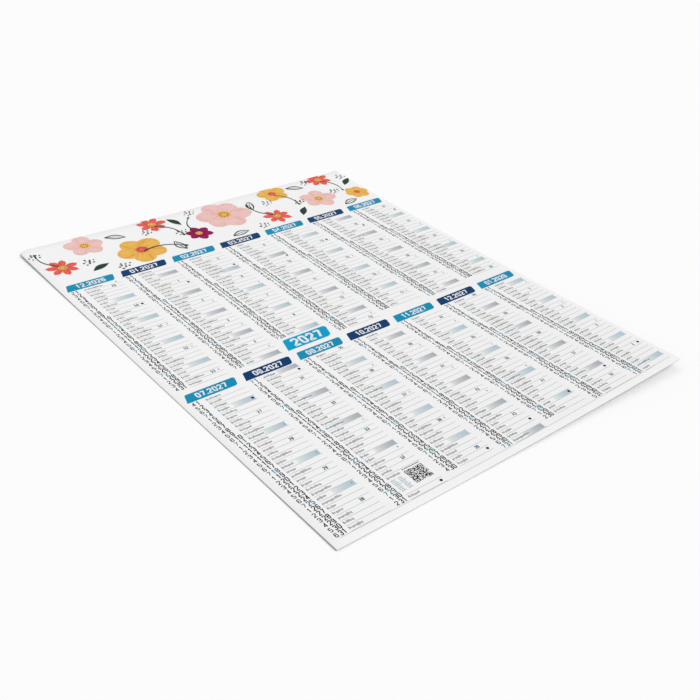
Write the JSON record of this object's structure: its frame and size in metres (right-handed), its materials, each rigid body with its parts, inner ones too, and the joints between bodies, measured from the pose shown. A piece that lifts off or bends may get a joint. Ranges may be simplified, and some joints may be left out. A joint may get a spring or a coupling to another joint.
{
  "type": "wall calendar",
  "caption": "Printed wall calendar board: month columns with day rows and Sunday bars under a band of flowers, lying face up with gently curled corners.",
  "frame": {"origin": "floor level under the middle of the board's box", "axes": "+X across the page to the right, +Y up the page towards the band of flowers, +Z out of the print"},
  "size_m": [0.43, 0.55, 0.0095],
  "materials": {
    "printed_board": "smooth white coated board with a matt print in blue, navy and flower colours"
  },
  "bodies": {
    "root": {"calendar_board": "printed_board"}
  },
  "joints": []
}
